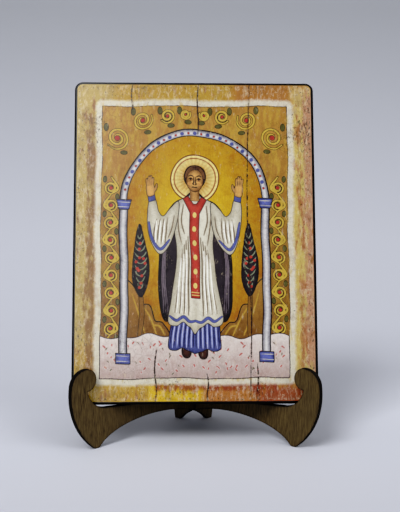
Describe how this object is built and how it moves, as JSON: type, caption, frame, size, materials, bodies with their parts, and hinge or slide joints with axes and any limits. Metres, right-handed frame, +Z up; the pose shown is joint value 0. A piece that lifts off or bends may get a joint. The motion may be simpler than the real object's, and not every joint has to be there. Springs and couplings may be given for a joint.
{
  "type": "icon panel on stand",
  "caption": "Upright printed icon on a rounded wooden board with dark edges, leaning back in a display stand of crossed plywood plates with scrolled hooks.",
  "frame": {"origin": "on the ground, under the middle of the whole object's box", "axes": "+Z up, the picture faces -Y, +X to the picture's right as seen from the front"},
  "size_m": [0.18, 0.0896, 0.2653],
  "materials": {
    "black_painted_wood": "black paint, satin",
    "varnished_print": "printed picture under glossy varnish",
    "stained_plywood": "brown stain, with dark burnt edges from the cut"
  },
  "bodies": {
    "root": {"icon_board": "black_painted_wood", "picture_sheet": "varnished_print", "stand_plate_left": "stained_plywood", "stand_plate_right": "stained_plywood"}
  },
  "joints": []
}
